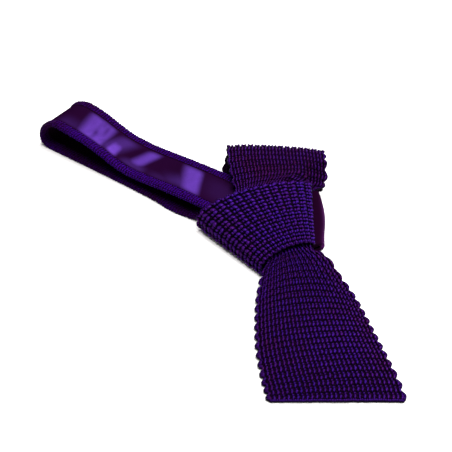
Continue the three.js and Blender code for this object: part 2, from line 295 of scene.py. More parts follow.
def strand(path, sides):
    """One plump closed strand. Its path's rows are along, across and high in mm, with its half
    width and half thickness: points, thread coordinates, crest values and faces."""
    path = np.array(path, float)
    ahead = np.gradient(path[:, :2], axis=0)
    ahead /= np.linalg.norm(ahead, axis=1, keepdims=True)
    angles = 2 * np.pi * (np.arange(sides) + 0.5) / sides
    rings, n = len(path), sides
    points = np.zeros((rings, n, 3))
    points[:, :, 0] = path[:, None, 0] + ahead[:, None, 1] * path[:, None, 3] * np.cos(angles)
    points[:, :, 1] = path[:, None, 1] - ahead[:, None, 0] * path[:, None, 3] * np.cos(angles)
    points[:, :, 2] = path[:, None, 2] + path[:, None, 4] * np.sin(angles)
    run = np.concatenate([[0], np.cumsum(np.linalg.norm(np.diff(path[:, :2], axis=0), axis=1))])
    thread = np.stack(np.broadcast_arrays(run[:, None], angles / (2 * np.pi)), -1).reshape(-1, 2)
    # the crest value, high on top of the strand and low underneath and at its ends, gives the dye its painted
    # highlight and painted shade
    ends = np.abs(np.linspace(-1, 1, rings))[:, None] ** 3
    crest = (np.clip(0.5 + 0.5 * np.sin(angles), 0, 1) * (1 - 0.45 * ends)).ravel()
    faces = []
    for i in range(rings - 1):
        for j in range(n):
            k = (j + 1) % n
            faces.append((i * n + j, i * n + k, (i + 1) * n + k, (i + 1) * n + j))
    faces.append(tuple(reversed(range(n))))
    faces.append(tuple(range((rings - 1) * n, rings * n)))
    return points.reshape(-1, 3), thread, crest, faces


# A table of stitch cells has a row for each, with these columns: its place along the cloth
# and across it, its length in mm, how red its colour is (its dye, and on the blade's flap and edges also
# painted shade), how far its strands turn from the narrow shape to the broad one, their lift in mm, and how
# wide they are for their rib.
cell_along, cell_across, cell_length, cell_tone, cell_broad, cell_lift, cell_wide = range(7)


def knit_piece(name, surface, strands, cells, ribs, nominal, material, face=1, seed=1):
    """Many strands laid on a cloth. Each stitch cell takes every strand, squeezed to the
    cloth's own rib width there. A strand comes as two shapes, narrow and broad."""
    dice = np.random.default_rng(seed)
    all_points, all_thread, all_crest, all_tone, all_faces = [], [], [], [], []
    start = 0
    for narrow, broad in strands:
        thread, crest, faces = narrow[1:]
        n, k = len(cells), len(narrow[0])
        shape = narrow[0][None] + (broad[0] - narrow[0])[None] * cells[:, cell_broad, None, None]
        nudge = dice.normal(0, 1, (n, 3)) * [0.1, 0.06, 0.06]
        swell = 1 + dice.normal(0, 0.08, (n, 1))
        ahead = (shape[:, :, 0] + nudge[:, :1]) * cells[:, cell_length, None]
        aside = shape[:, :, 1] * swell * cells[:, cell_wide, None] + nudge[:, 1:2]
        s = cells[:, cell_along, None] + ahead / nominal[0]
        v = cells[:, cell_across, None] + aside / nominal[1] * 2 / ribs
        high = shape[:, :, 2] * swell + nudge[:, 2:3] + cells[:, cell_lift, None]
        points = on_cloth(surface, s.ravel(), v.ravel(), high.ravel(), face)
        all_points.append(points)
        all_thread.append(np.tile(thread, (n, 1)))
        all_crest.append(np.tile(crest, n))
        all_tone.append(np.repeat(cells[:, cell_tone], k))
        for i in range(n):
            base = start + i * k
            all_faces.extend([[base + q for q in f] for f in faces])
        start += n * k
    if face < 0:
        all_faces = [f[::-1] for f in all_faces]
    piece = mesh_piece(name, np.concatenate(all_points), all_faces, material)
    lay_out(piece.data, np.concatenate(all_thread))
    mark(piece.data, "crest", np.concatenate(all_crest))
    mark(piece.data, "tone", np.concatenate(all_tone))
    return piece


def new_group(name, inputs, outputs):
    """An empty shader node group with named sockets."""
    group = bpy.data.node_groups.new(name, "ShaderNodeTree")
    for label, kind, value in inputs:
        socket = group.interface.new_socket(label, in_out="INPUT", socket_type=kind)
        if value is not None:
            socket.default_value = value
    for label, kind in outputs:
        group.interface.new_socket(label, in_out="OUTPUT", socket_type=kind)
    return group, group.nodes.new("NodeGroupInput"), group.nodes.new("NodeGroupOutput")


def joined(tree, kind, links=(), **settings):
    """A new node with its settings, its inputs linked or set from pairs of name and value."""
    node = tree.nodes.new(kind)
    for key, value in settings.items():
        setattr(node, key, value)
    for key, value in links:
        socket = node.inputs[key]
        if isinstance(value, bpy.types.NodeSocket):
            tree.links.new(value, socket)
        else:
            socket.default_value = value
    return node


def maths(tree, operation, *values, clamp=False):
    """The result of a maths node, from sockets or numbers."""
    links = list(enumerate(values))
    return joined(tree, "ShaderNodeMath", links, operation=operation, use_clamp=clamp).outputs[0]


def mixed(tree, share, first, second):
    """Two colours mixed by a share, through the sockets that the mix node keeps for colours."""
    return joined(tree, "ShaderNodeMix", [(0, share), (6, first), (7, second)], data_type="RGBA").outputs[2]


def rescaled(tree, value, low, high, to_low, to_high):
    """A value whose range from low to high is stretched to a new one."""
    limits = [("From Min", low), ("From Max", high), ("To Min", to_low), ("To Max", to_high)]
    return joined(tree, "ShaderNodeMapRange", [("Value", value), *limits]).outputs["Result"]


# Yarn dye and painted shade: the dye's colour with painted shade deep in the gaps and a painted
# highlight on each strand's crest, a little redder or bluer from stitch to stitch, with a slow drift over the
# cloth.
yarn_dye_and_shade, dye_in, dye_out = new_group(
    "yarn_dye_and_shade",
    [
        ("Deep", "NodeSocketColor", (0.004, 0.0005, 0.008, 1)),
        ("Bright", "NodeSocketColor", (0.03, 0.006, 0.11, 1)),
        ("Warm", "NodeSocketColor", (0.05, 0.004, 0.09, 1)),
        ("Crest", "NodeSocketFloat", 1.0),
        ("Tone", "NodeSocketFloat", 0.5),
    ],
    [("Color", "NodeSocketColor")],
)
dye_place = yarn_dye_and_shade.nodes.new("ShaderNodeTexCoord").outputs["Object"]
dye_drift = joined(yarn_dye_and_shade, "ShaderNodeTexNoise", [("Vector", dye_place), ("Scale", 45.0), ("Detail", 2.0)])
dye_fleck = joined(yarn_dye_and_shade, "ShaderNodeTexNoise", [("Vector", dye_place), ("Scale", 2600.0), ("Detail", 1.0)])
dye_lean = maths(yarn_dye_and_shade, "MULTIPLY", dye_drift.outputs["Fac"], dye_in.outputs["Tone"])
dye_hue = mixed(yarn_dye_and_shade, dye_lean, dye_in.outputs["Bright"], dye_in.outputs["Warm"])
dye_gain = rescaled(yarn_dye_and_shade, dye_fleck.outputs["Fac"], 0.3, 0.7, 0.5, 1.5)
# the crest value sets the painted highlight on each strand's top and the painted shade below it
crest_painted_light = maths(yarn_dye_and_shade, "POWER", dye_in.outputs["Crest"], 3.6)
painted_light_share = maths(yarn_dye_and_shade, "MULTIPLY", crest_painted_light, dye_gain, clamp=True)
dye_and_shade_colour = mixed(yarn_dye_and_shade, painted_light_share, dye_in.outputs["Deep"], dye_hue)
yarn_dye_and_shade.links.new(dye_and_shade_colour, dye_out.inputs["Color"])

# Ply twist: the fine slanted lines of a twisted silk thread, from its thread coordinates.
ply_twist, twist_in, twist_out = new_group(
    "ply_twist",
    [("Turns", "NodeSocketFloat", 2.0)],
    [("Height", "NodeSocketFloat")],
)
twist_place = joined(ply_twist, "ShaderNodeUVMap", uv_map="Thread")
twist_split = joined(ply_twist, "ShaderNodeSeparateXYZ", [("Vector", twist_place.outputs["UV"])])
twist_lead = maths(ply_twist, "MULTIPLY", twist_split.outputs["X"], twist_in.outputs["Turns"])
twist_turns = maths(ply_twist, "MULTIPLY_ADD", twist_split.outputs["Y"], 3.0, twist_lead)
twist_wave = maths(ply_twist, "SINE", maths(ply_twist, "MULTIPLY", twist_turns, 2 * math.pi))
ply_twist.links.new(twist_wave, twist_out.inputs["Height"])


def embossed(tree, surface, height, strength, distance):
    """Low relief in a material, from a height that changes over the surface."""
    bump = joined(tree, "ShaderNodeBump", [("Height", height), ("Strength", strength), ("Distance", distance)])
    tree.links.new(bump.outputs["Normal"], surface.inputs["Normal"])


def dyed_and_shaded(tree, surface, crest, deep, bright, warm):
    """The yarn's dye with its painted shade and painted highlight as a material's colour, with that material's
    own three colours.
    """
    colours = [("Crest", crest), ("Deep", deep), ("Bright", bright), ("Warm", warm)]
    dye = joined(tree, "ShaderNodeGroup", colours, node_tree=yarn_dye_and_shade)
    tree.links.new(dye.outputs["Color"], surface.inputs["Base Color"])
    return dye


def yarn_material(name, deep, bright, warm, turns, depth, roughness, shine):
    """Dyed silk thread, near black in the gaps as painted shade and bright on its crests as a painted
    highlight, with a blue violet shine from its metal and specular tint.
    """
    material, tree, surface = plain_material(name, roughness, 0.03)
    crest = joined(tree, "ShaderNodeAttribute", attribute_name="crest")
    tone = joined(tree, "ShaderNodeAttribute", attribute_name="tone")
    dye = dyed_and_shaded(tree, surface, crest.outputs["Fac"], deep, bright, warm)
    tree.links.new(tone.outputs["Fac"], dye.inputs["Tone"])
    twist = joined(tree, "ShaderNodeGroup", [("Turns", turns)], node_tree=ply_twist)
    embossed(tree, surface, twist.outputs["Height"], 0.6, depth)
    surface.inputs["Metallic"].default_value = shine
    surface.inputs["Specular Tint"].default_value = (0.35, 0.08, 0.5, 1)
    return material


# Knit relief: the knit's ribs and courses as a height, for cloth seen from its back; the backing paints its
# hollows darker, as painted shade.
knit_relief, relief_in, relief_out = new_group(
    "knit_relief",
    [("Lean", "NodeSocketFloat", 0.35)],
    [("Height", "NodeSocketFloat")],
)
relief_place = joined(knit_relief, "ShaderNodeUVMap", uv_map="Thread")
relief_split = joined(knit_relief, "ShaderNodeSeparateXYZ", [("Vector", relief_place.outputs["UV"])])
rib_place, course_place = relief_split.outputs["X"], relief_split.outputs["Y"]


def humps(tree, place, angle):
    """Round humps in a row along a coordinate, angle radians to its unit."""
    return maths(tree, "ABSOLUTE", maths(tree, "SINE", maths(tree, "MULTIPLY", place, angle)))


leaning_place = maths(knit_relief, "MULTIPLY_ADD", rib_place, relief_in.outputs["Lean"], course_place)
relief_ribs = humps(knit_relief, rib_place, math.pi)
relief_courses = humps(knit_relief, leaning_place, 2 * math.pi)
relief_high = maths(knit_relief, "POWER", maths(knit_relief, "MULTIPLY", relief_ribs, relief_courses), 0.5)
knit_relief.links.new(relief_high, relief_out.inputs["Height"])


def backing_material(name, deep, bright, warm, depth, roughness):
    """The cloth under and behind the stitches: the same dye, painted darker in the knit's hollows as painted
    shade, with the knit as low relief.
    """
    material, tree, surface = plain_material(name, roughness, 0.02)
    relief = joined(tree, "ShaderNodeGroup", node_tree=knit_relief)
    dyed_and_shaded(tree, surface, relief.outputs["Height"], deep, bright, warm)
    embossed(tree, surface, relief.outputs["Height"], 0.9, depth)
    return material


# the deep colour is the painted shade under and between the strands, the bright and warm ones the painted
# highlight on their crests
silk_knit = yarn_material(
    "silk_knit",
    deep=(0.0015, 0.0001, 0.0025, 1),
    bright=(0.038, 0.007, 0.19, 1),
    warm=(0.056, 0.0055, 0.085, 1),
    turns=0.9,
    depth=0.0001,
    roughness=0.4,
    shine=0.35,
)
# the backing is kept near black: the dark dye, and painted shade in the gaps between the stitches
silk_backing = backing_material(
    "silk_backing",
    deep=(0.0012, 0.0001, 0.002, 1),
    bright=(0.008, 0.0005, 0.014, 1),
    warm=(0.012, 0.0007, 0.013, 1),
    depth=0.0006,
    roughness=0.75,
)

rib_count = 29
rib_pitch, course_pitch = 2.03, 3.65
# along, across, high, half width, half thickness
rib_plump = strand(
    [
        (-1.75, -0.30, -0.30, 0.26, 0.28),
        (-0.95, -0.26, 0.20, 0.46, 0.54),
        (-0.20, -0.04, 0.38, 0.57, 0.64),
        (0.55, 0.16, 0.22, 0.48, 0.56),
        (1.15, 0.28, -0.30, 0.28, 0.28),
    ],
    7,
)
rib_short = strand(
    [
        (0.85, -0.40, -0.35, 0.26, 0.28),
        (1.28, -0.18, 0.10, 0.44, 0.46),
        (1.75, 0.12, 0.14, 0.48, 0.48),
        (2.30, 0.34, -0.35, 0.28, 0.28),
    ],
    6,
)
course_plump = strand(
    [
        (-1.30, -0.55, -0.35, 0.34, 0.30),
        (-0.75, -0.38, 0.20, 0.64, 0.50),
        (-0.10, -0.05, 0.40, 0.82, 0.62),
        (0.50, 0.26, 0.24, 0.66, 0.52),
        (0.95, 0.50, -0.35, 0.36, 0.30),
    ],
    7,
)
course_short = strand(
    [
        (0.80, -0.66, -0.35, 0.30, 0.30),
        (1.15, -0.28, 0.16, 0.60, 0.48),
        (1.50, 0.22, 0.20, 0.64, 0.50),
        (1.92, 0.62, -0.35, 0.32, 0.30),
    ],
    6,
)


def knit_cells(first, last, pitch, ribs, arch, seed):
    """A grid of stitch cells: courses from first to last mm, arched by arch(s) at the middle."""
    dice = np.random.default_rng(seed)
    courses = int(round((last - first) / pitch))
    length = (last - first) / courses
    i, j = grid_of(np.arange(courses), np.arange(ribs))
    s = first + (i + 0.5) * length
    v = -1 + 2 * (j + 0.5) / ribs
    s = s + arch(s) * (1 - v**2)
    tone = np.clip(dice.normal(0.5, 0.3, len(s)), 0, 1)
    return np.stack([s, v, np.full(len(s), length), tone, 0 * s, 0 * s, 1 + 0 * s], 1)


def loop_piece(name, surface, half_at, spans, radius, material, face=1):
    """The row of rounded loops along a knit edge: one closed plump strand for each scallop.
    Its radius is given as places along the cloth and the radius at each; the beads of the
    right edge are a little smaller."""
    points, thread, crest, faces = [], [], [], []
    start, rings, sides = 0, 9, 7
    bead_gap, right_share = 0.15, 0.8
    t = np.linspace(0, 1, rings)
    swell = np.sin(np.pi * np.clip(t, 0.02, 0.98))
    angles = 2 * np.pi * (np.arange(sides) + 0.5) / sides
    for s0, s1, side in spans:
        plump = np.interp(s0, *radius) * (right_share if side > 0 else 1.0)
        bulge, inset = (0.5, 0.3) if side > 0 else (0.65, 0.6)
        s = s0 + bead_gap + (s1 - s0 - 2 * bead_gap) * t
        thick = plump * (0.3 + 0.7 * swell**0.7)
        v = side * (1 + (bulge * swell * plump - 0.3 * plump - inset) / half_at(s))
        middle = on_cloth(surface, s, v, np.zeros(rings), face)
        lateral = on_cloth(surface, s, v + side * 0.02, np.zeros(rings), face) - middle
        lateral /= np.linalg.norm(lateral, axis=1, keepdims=True)
        upward = on_cloth(surface, s, v, np.ones(rings), face) - middle
        ring = middle[:, None] + (thick[:, None] * np.cos(angles))[:, :, None] * lateral[:, None]
        ring = ring + (thick[:, None] * 1.05 * np.sin(angles))[:, :, None] * upward[:, None]
        points.append(ring.reshape(-1, 3))
        run = (s - s0)[:, None] + 0 * angles
        turns = np.broadcast_to(angles / (2 * np.pi), run.shape)
        thread.append(np.stack([run, turns], -1).reshape(-1, 2))
        # each bead's crest value is high on top and low below, with a flicker from ring to ring: painted
        # highlight and painted shade in the dye
        fine = 0.8 + 0.2 * np.cos(np.pi * np.arange(rings))
        crest.append((fine[:, None] * (0.5 + 0.4 * np.sin(angles))).ravel())
        index = start + np.arange(rings * sides).reshape(rings, sides)
        beside = np.roll(index, -1, axis=1)
        bead = np.stack([index[:-1], index[1:], beside[1:], beside[:-1]], -1).reshape(-1, 4).tolist()
        bead += [index[0].tolist(), index[-1, ::-1].tolist()]
        faces.extend(bead if side * face > 0 else [f[::-1] for f in bead])
        start += rings * sides
    piece = mesh_piece(name, np.concatenate(points), faces, material)
    lay_out(piece.data, np.concatenate(thread))
    mark(piece.data, "crest", np.concatenate(crest))
    mark(piece.data, "tone", np.full(start, 0.85))
    return piece


def rib_number(v, ribs):
    """Which of a cloth's ribs lies at each place across it, from 0."""
    return np.round((v + 1) / 2 * ribs - 0.5).astype(int)


def blade_half(s):
    """Half the blade's width, s mm from its hem."""
    return through(blade_rows, blade_share(s))[:, 2]


blade_cloth = cloth_piece(
    "blade_cloth",
    blade_at,
    np.linspace(0.35, blade_length - 0.2, 240),
    np.array([-0.98, -0.92, -0.8, -0.65, -0.45, -0.25, 0, 0.25, 0.45, 0.65, 0.8, 0.92, 0.98]),
    -0.35,
    -1.0,
    (course_pitch, rib_count),
    silk_backing,
)
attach(blade_cloth, "root")
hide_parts("front_blade")

in_knot = (118.0, 136.0)  # mm from the hem: the wrap hides the cloth between them
blade_marks = np.linspace(0, blade_length, 2000)
crease_at = float(blade_marks[np.argmax(through(blade_rows, blade_share(blade_marks))[:, 1])])


def blade_arch(s):
    """How far the courses bow at the middle, in mm, most where the cloth is drawn together."""
    return 0.6 + 3.6 * np.exp(-(((s - 84.0) / 26.0) ** 2)) * (s < 120)


blade_cells = np.concatenate(
    [
        knit_cells(0.2, in_knot[0], course_pitch, rib_count, blade_arch, 3),
        knit_cells(in_knot[1], blade_length - 0.6, course_pitch, rib_count, lambda s: 0 * s, 4),
    ]
)
cell_s = blade_cells[:, cell_along]
blade_cells = blade_cells[(cell_s > 0.8) & (cell_s < blade_length - 1.5)]
cell_s, cell_v = blade_cells[:, cell_along], blade_cells[:, cell_across]
# pulled a little sideways, the courses show more than the ribs on the blade's right middle
blade_cells[:, cell_broad] = np.exp(-(((cell_s - 42) / 24) ** 2) - ((cell_v - 0.35) / 0.5) ** 2)
# gathered towards the mouth, every second rib sinks into a pleat and the others spread
odd_rib = rib_number(cell_v, rib_count) % 2
pleat = np.clip((cell_s - 58) / 34, 0, 1) * (cell_s < 125)
crease = np.exp(-(((cell_s - crease_at) / 3.0) ** 2))
blade_cells[:, cell_lift] = np.where(odd_rib, -0.75, 0.1) * pleat - 0.75 * crease
blade_cells[:, cell_wide] = 1 + np.where(odd_rib, -0.1, 0.55) * pleat
# the standing flap and the blade's edges are coloured a little redder and darker: painted shade, as these
# parts turn from the light
blade_cells[:, cell_tone] += 0.7 * np.clip((cell_s - 128) / 8, 0, 1)
blade_cells[:, cell_tone] += 0.7 * np.clip((np.abs(cell_v + 0.05) - 0.55) / 0.4, 0, 1) * (cell_s < 128)
blade_stitches = knit_piece(
    "blade_stitches",
    blade_at,
    [(rib_plump, course_plump), (rib_short, course_short)],
    blade_cells,
    rib_count,
    (course_pitch, rib_pitch),
    silk_knit,
    seed=11,
)
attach(blade_stitches, "root")

blade_spans = []
for k in range(int(blade_length / scallop_pitch)):
    for side in (-1, 1):
        if not in_knot[0] - scallop_pitch < k * scallop_pitch < in_knot[1]:
            blade_spans.append((k * scallop_pitch, (k + 1) * scallop_pitch, side))
bead_sizes = ([0, *in_knot, crease_at - 4, crease_at + 2], [1.2, 1.2, 0.9, 0.8, 0.35])
blade_edge = loop_piece("blade_edge", blade_at, blade_half, blade_spans, bead_sizes, silk_knit)
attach(blade_edge, "root")


def cells_in_row(s, v_marks, tone):
    """Stitch cells in one row across a cloth, s mm along it."""
    cells = np.stack([np.full(len(v_marks), value) for value in (s, 0, course_pitch, tone, 0, 0.0, 1)], 1)
    cells[:, cell_across] = v_marks
    return cells


# over the top crease the ribs roll up in pairs, as small round knobs
knob = strand(
    [
        (-3.0, 0, -0.5, 0.6, 0.5),
        (-1.9, 0, 0.1, 1.2, 0.8),
        (-0.7, 0, 0.3, 1.7, 1.0),
        (0.7, 0, 0.3, 1.7, 1.0),
        (1.9, 0, 0.1, 1.2, 0.8),
        (3.0, 0, -0.5, 0.6, 0.5),
    ],
    9,
)
knob_count = 15
knob_marks = (np.arange(knob_count) - (knob_count - 1) / 2) * 1.94 / knob_count
knob_cells = cells_in_row(crease_at, knob_marks, 1.2)
knob_cells[:, cell_lift] = -0.9 * np.abs(knob_marks) ** 8
blade_crease = knit_piece(
    "blade_crease",
    blade_at,
    [(knob, knob)],
    knob_cells,
    rib_count,
    (course_pitch, rib_pitch),
    silk_knit,
    seed=6,
)
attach(blade_crease, "root")

# the hem is closed by a row of short upright stitches
hem_stitch = strand(
    [
        (-0.2, -0.62, -0.05, 0.3, 0.5),
        (-0.28, -0.25, 0.0, 0.5, 0.85),
        (-0.28, 0.25, 0.0, 0.5, 0.85),
        (-0.2, 0.62, -0.05, 0.3, 0.5),
    ],
    8,
)
blade_hem = knit_piece(
    "blade_hem",
    blade_at,
    [(hem_stitch, hem_stitch)],
    cells_in_row(0.85, np.linspace(-0.97, 0.97, 59), 0.5),
    rib_count,
    (course_pitch, rib_pitch),
    silk_knit,
    seed=5,
)
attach(blade_hem, "root")
blade_area = float(np.mean(2 * blade_half(np.linspace(0, blade_length, 400))) * blade_length)

# Knot wrap: the same knit, drawn tight round the knot from its right side over the front and
# the left and back along the table. Its ribs run round the knot and fan out to the left.
wrap_from, wrap_to = 22.0, 304.0  # degrees round the knot, from its right side over the top


def knot_point(w, angle, inset):
    """A point on the knot's oval at share w of its length, inset mm inside its outer face."""
    x = knot_top[0] + knot_length * w * math.cos(knot_heading)
    y = knot_top[1] + knot_length * w * math.sin(knot_heading)
    turn = np.radians(top_turn + (mouth_turn - top_turn) * w)
    half = (knot_width + (mouth_width - knot_width) * w) / 2 - inset
    high = knot_height + (mouth_height - knot_height) * w
    wide = belly * high
    c, s = np.cos(np.radians(angle)), np.sin(np.radians(angle))
    power = np.where(s < 0, shoulder_under, np.where(c < 0, shoulder_left, shoulder_right))
    side = half * np.sign(c) * np.abs(c) ** (2 / power)
    rise = np.minimum(np.where(s < 0, 1.04, 1.0) * np.abs(s) ** (2 / power), 1)
    z = np.where(s < 0, wide - (wide - inset) * rise, wide + (high - inset - wide) * rise)
    return np.stack([x + side * np.cos(turn), y + side * np.sin(turn), z], 1)


wrap_steps = 1200
wrap_angles = np.linspace(wrap_from - 4, wrap_to + 4, wrap_steps)
wrap_middle = knot_point(np.full(wrap_steps, 0.5), wrap_angles, knit_wall / 2)
wrap_run = np.concatenate([[0], np.cumsum(np.linalg.norm(np.diff(wrap_middle, axis=0), axis=1))])
wrap_run = wrap_run - np.interp(wrap_from, wrap_angles, wrap_run)
wrap_length = float(np.interp(wrap_to, wrap_angles, wrap_run))


def wrap_at(s, v):
    """A point in the middle of the wrap's cloth, s mm from its front end, v -1 at the top."""
    bump = np.abs(np.sin(np.pi * s / scallop_pitch))
    w = (v + 1) / 2 + 0.012 * (1 - bump) * -np.sign(v) * np.abs(v) ** 10
    return knot_point(w, np.interp(s, wrap_run, wrap_angles), knit_wall / 2)


wrap_ribs = 18
wrap_rib_pitch, wrap_course_pitch = knot_length / wrap_ribs, 3.7
wrap_cloth = cloth_piece(
    "wrap_cloth",
    wrap_at,
    np.linspace(0.3, wrap_length - 0.3, 150),
    np.linspace(-0.96, 0.96, 15),
    -0.2,
    -1.0,
    (wrap_course_pitch, wrap_ribs),
    silk_backing,
    face=-1,
)
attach(wrap_cloth, "root")
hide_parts("knot_wrap")

# each rib is a row of long stitches with short ones between; the next rib mirrors them
wrap_long = [
    (-1.42, -0.50, -0.45, 0.32, 0.28),
    (-0.85, -0.30, 0.18, 0.64, 0.52),
    (-0.12, -0.05, 0.40, 0.78, 0.62),
    (0.55, 0.20, 0.24, 0.66, 0.54),
    (1.02, 0.46, -0.45, 0.34, 0.28),
]
wrap_short = [
    (0.90, -0.56, -0.45, 0.28, 0.28),
    (1.22, -0.20, 0.16, 0.58, 0.48),
    (1.60, 0.16, 0.20, 0.62, 0.50),
    (2.02, 0.52, -0.45, 0.30, 0.28),
]


def mirrored(path):
    """A strand's path that leans the other way."""
    return [(along, -across, high, half, thick) for along, across, high, half, thick in path]


wrap_cells = knit_cells(0.3, wrap_length - 0.2, wrap_course_pitch, wrap_ribs, lambda s: 0 * s, 7)
wrap_cells = wrap_cells[wrap_cells[:, cell_along] < wrap_length - 2.0]
# towards the left side the colour turns redder, and the stitches stand close all over
wrap_cells[:, cell_tone] += 0.8 * np.clip((wrap_cells[:, cell_along] - 34) / 14, 0, 1)
wrap_cells[:, cell_wide] = 1.3
wrap_odd = rib_number(wrap_cells[:, cell_across], wrap_ribs) % 2 == 1
wrap_rows = []
for label, chosen, paths in (
    ("wrap_stitches", wrap_cells[~wrap_odd], (wrap_long, wrap_short)),
    ("wrap_stitches_mirrored", wrap_cells[wrap_odd], (mirrored(wrap_long), mirrored(wrap_short))),
):
    shapes = [strand(path, sides) for path, sides in zip(paths, (7, 6))]
    piece = knit_piece(
        label,
        wrap_at,
        [(shape, shape) for shape in shapes],
        chosen,
        wrap_ribs,
        (wrap_course_pitch, wrap_rib_pitch),
        silk_knit,
        face=-1,
        seed=12 + len(wrap_rows),
    )
    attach(piece, "root")
    wrap_rows.append(piece)
wrap_spans = [
    (k * wrap_course_pitch, (k + 1) * wrap_course_pitch, side)
    for k in range(int(wrap_length / wrap_course_pitch))
    for side in (-1, 1)
]
wrap_edge = loop_piece(
    "wrap_edge",
    wrap_at,
    lambda s: np.full(len(s), knot_length / 2),
    wrap_spans,
    ([0], [0.85]),
    silk_knit,
    face=-1,
)
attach(wrap_edge, "root")

# Inner turn: the satin faced cloth that turns round the knot's right side. Both its ends are
# tucked under the wrap, and it bulges a little more towards the mouth.
band_wall = 2.0
turn_length = 36.5
turn_height = 17.0  # the length of the curve below, which its rows share evenly
# out, share, lift, swell: how far outside the knot's side in walls, share of its height,
# mm above that, and how much of the bulge there is
turn_rows = np.array(
    [
        (out * band_wall, share, lift, swell * 0.6 * band_wall)
        for out, share, lift, swell in [
            (-2.4, 0, 3.7, 0),
            (-1.3, 0, 3.6, 0),
            (-0.35, 0.0, 3.1, 0.2),
            (0.25, 0.12, 1.6, 0.6),
            (0.5, 0.22, 1.2, 1),
            (0.45, 0.34, 0.4, 1),
            (0.05, 0.42, 0.1, 0.7),
            (-0.7, 0.445, 0, 0.2),
            (-1.8, 0.44, 0, 0),
        ]
    ]
)


def turn_at(s, v):
    """A point in the middle of the turn's cloth, s mm along it, v -1 at the knot's top."""
    out, share, lift, swell = through(turn_rows, s / turn_height).T
    w = 0.03 + (v + 1) / 2 * (turn_length + 2) / knot_length
    side = knot_point(w, np.zeros(len(w)), 0.0)
    angle = np.radians(top_turn + (mouth_turn - top_turn) * w)
    belly_out = w + 0.9 * np.sin(np.pi * np.clip(w, 0, 1)) ** 2
    far = out + swell * belly_out - 1.6 * np.exp(-w / 0.12) * (swell > 0)
    high = knot_height + (mouth_height - knot_height) * w
    ripple = 0.16 * np.sin(5.0 * v + 0.9 * s) * np.clip(1 - np.abs(s / turn_height - 0.5) * 2.4, 0, 1)
    far = far + ripple
    x, y = side[:, 0] + far * np.cos(angle), side[:, 1] + far * np.sin(angle)
    return np.stack([x, y, share * high + lift], 1)


# Satin threads and painted sheen: warp threads that run along the cloth, their colour taken from dark
# to light by a painted sheen mask, which is a painted highlight. The turn and the neck loop's ribbon are both
# made of them.
satin_threads_painted_sheen, satin_in, satin_out = new_group(
    "satin_threads_painted_sheen",
    [
        ("Dark", "NodeSocketColor", (0.02, 0.004, 0.03, 1)),
        ("Light", "NodeSocketColor", (0.1, 0.04, 0.3, 1)),
        ("Sheen", "NodeSocketFloat", 0.0),
    ],
    [("Color", "NodeSocketColor"), ("Height", "NodeSocketFloat")],
)
satin_place = joined(satin_threads_painted_sheen, "ShaderNodeUVMap", uv_map="Thread")
satin_stretch = joined(
    satin_threads_painted_sheen, "ShaderNodeMapping", [("Vector", satin_place.outputs["UV"]), ("Scale", (5.0, 0.35, 1.0))]
)
satin_lines = joined(
    satin_threads_painted_sheen,
    "ShaderNodeTexNoise",
    [("Vector", satin_stretch.outputs["Vector"]), ("Scale", 1.6), ("Detail", 3.0)],
)
satin_glint = rescaled(satin_threads_painted_sheen, satin_lines.outputs["Fac"], 0.25, 0.75, 0.72, 1.0)
painted_sheen_share = maths(satin_threads_painted_sheen, "MULTIPLY", satin_in.outputs["Sheen"], satin_glint, clamp=True)
satin_colour = mixed(satin_threads_painted_sheen, painted_sheen_share, satin_in.outputs["Dark"], satin_in.outputs["Light"])
satin_threads_painted_sheen.links.new(satin_colour, satin_out.inputs["Color"])
satin_threads_painted_sheen.links.new(satin_lines.outputs["Fac"], satin_out.inputs["Height"])


def satin_material(name, dark, light, roughness, shine):
    """Silk satin with a painted highlight: lighter colour and more metal shine where its painted sheen mask is
    high; the shine takes the colour of its dye.
    """
    material, tree, surface = plain_material(name, roughness, 0.0)
    painted_sheen = joined(tree, "ShaderNodeAttribute", attribute_name="painted_sheen")
    colours = [("Dark", dark), ("Light", light), ("Sheen", painted_sheen.outputs["Fac"])]
    threads = joined(tree, "ShaderNodeGroup", colours, node_tree=satin_threads_painted_sheen)
    tree.links.new(threads.outputs["Color"], surface.inputs["Base Color"])
    embossed(tree, surface, threads.outputs["Height"], 0.25, 0.0001)
    # the metal shine follows the painted sheen mask, so it too is strongest on the painted highlight
    tree.links.new(maths(tree, "MULTIPLY", painted_sheen.outputs["Fac"], shine), surface.inputs["Metallic"])
    return material


# the second colour is the painted highlight's colour
plum_satin = satin_material("plum_satin", (0.007, 0.0006, 0.007, 1), (0.09, 0.012, 0.115, 1), 0.42, 0.25)
turn_rings, turn_columns = 60, 40
turn_piece = cloth_piece(
    "turn_satin",
    turn_at,
    np.linspace(0.0, turn_height, turn_rings),
    np.linspace(-1, 1, turn_columns),
    band_wall / 2,
    -band_wall / 2,
    (1.0, 36.0),
    plum_satin,
    face=-1,
)
# a lighter stripe along the turn's middle, fading towards both ends: a painted highlight
turn_s, turn_v = grid_of(np.linspace(0, 1, turn_rings), np.linspace(-1, 1, turn_columns))
turn_painted_sheen = np.exp(-(((turn_s - 0.56) / 0.12) ** 2)) * (0.8 + 0.2 * np.sin(5 * turn_v + 5 * turn_s))
mark(turn_piece.data, "painted_sheen", np.tile(turn_painted_sheen, 2))
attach(turn_piece, "root")
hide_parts("inner_turn")

# Neck band: narrow, finer knit with a plump border along each side, bent back into the loop.
# It leaves the knot on top, turns at the far bend and comes home along the table.
band_width = 28.0
loop_reach = 141.2
loop_height = 18.5
border_width = 4.6
half_band = band_width / 2
band_end = np.array([-1.46, 5.9])
band_heading = math.radians(143.0)
